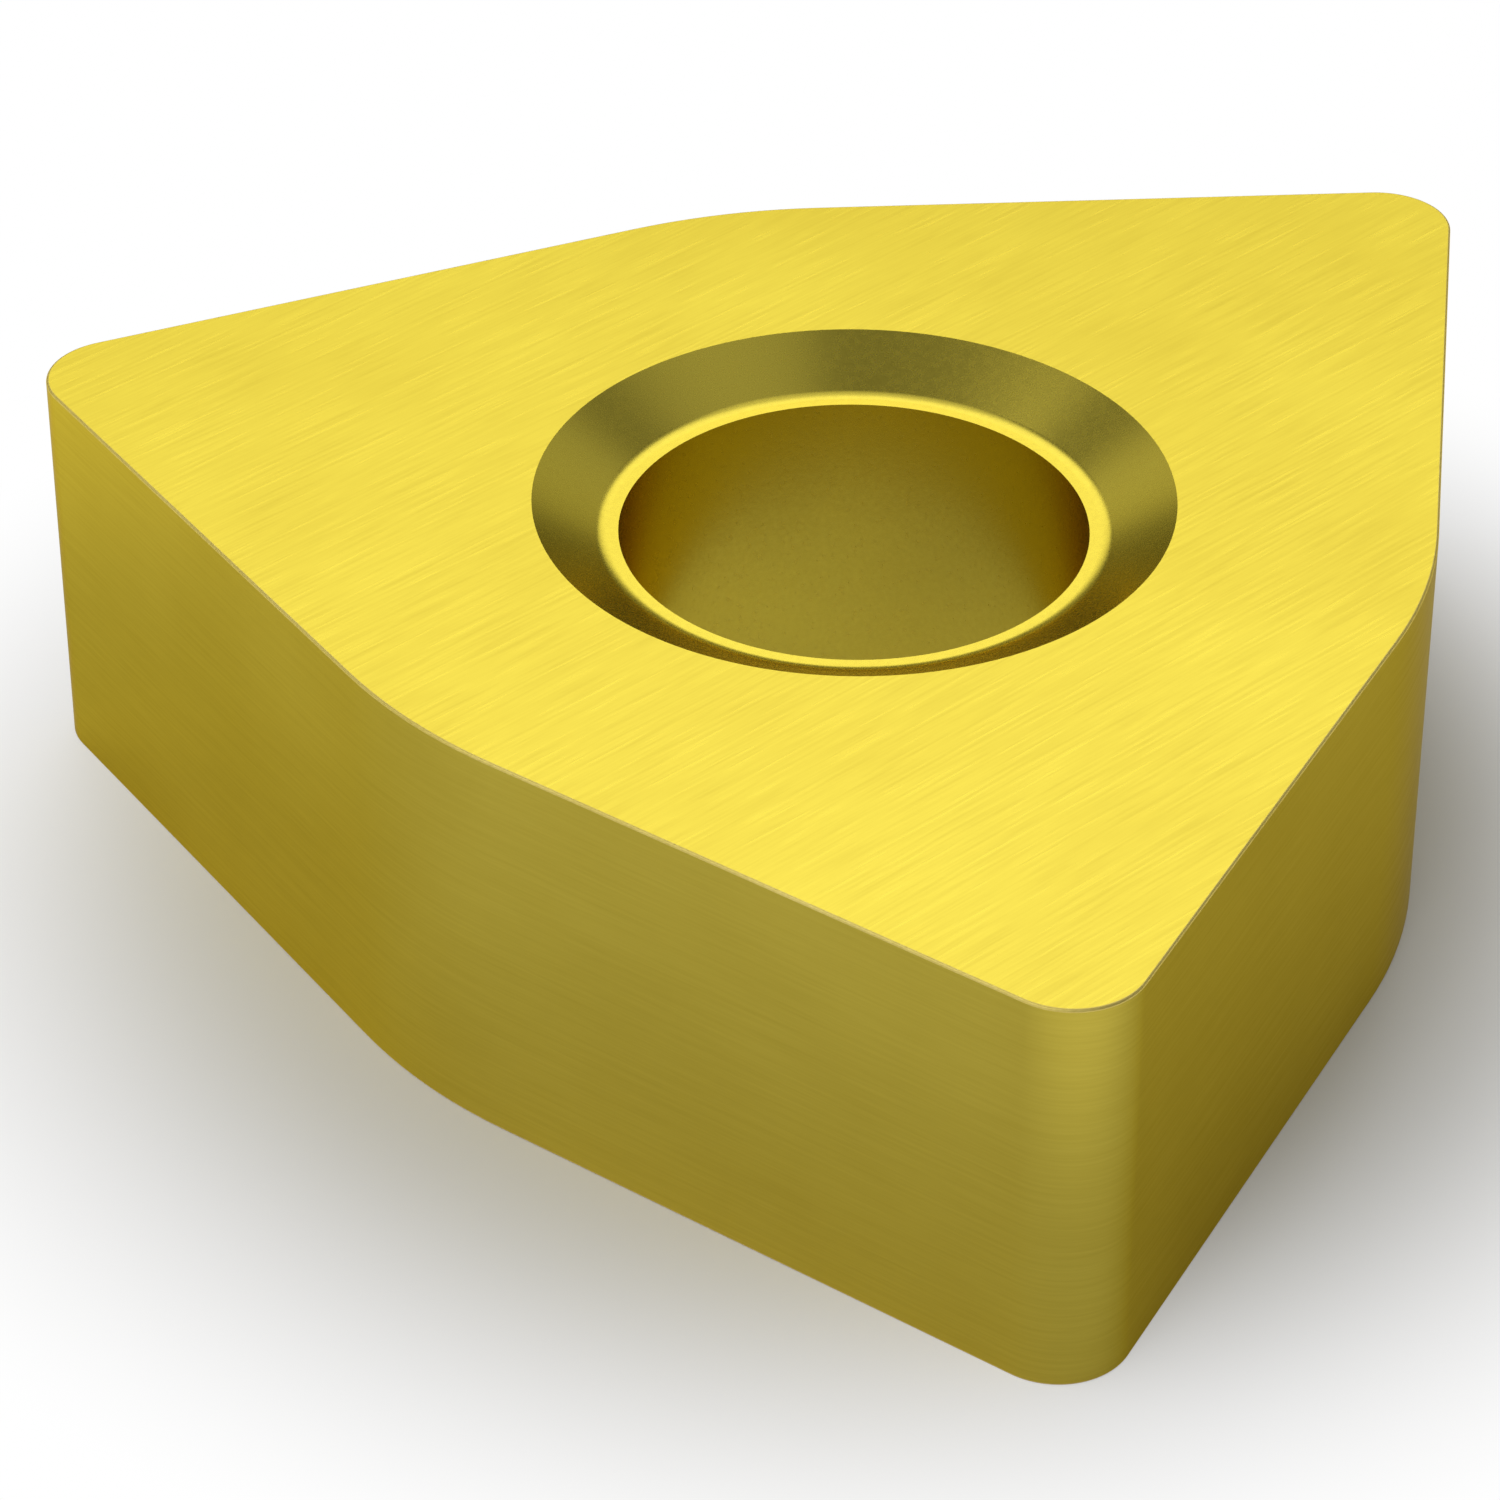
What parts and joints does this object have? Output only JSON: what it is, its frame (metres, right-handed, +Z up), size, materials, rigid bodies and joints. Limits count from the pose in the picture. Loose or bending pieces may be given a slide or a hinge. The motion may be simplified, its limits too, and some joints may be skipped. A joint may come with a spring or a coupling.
{
  "type": "carbide insert",
  "caption": "Trigon turning insert: a flat, gold-coated carbide plate with rounded cutting noses, square sides and a countersunk centre hole for a clamping pin.",
  "frame": {"origin": "centre of the inscribed circle, on the hole's axis, in the plane of the lower ground face", "axes": "+Z up along the hole's axis, from the lower face to the upper face; +X from the axis to the tip of one nose"},
  "size_m": [0.0157, 0.0166, 0.0048],
  "materials": {
    "titanium_nitride_coating": "satin"
  },
  "bodies": {
    "root": {"insert": "titanium_nitride_coating"}
  },
  "joints": []
}
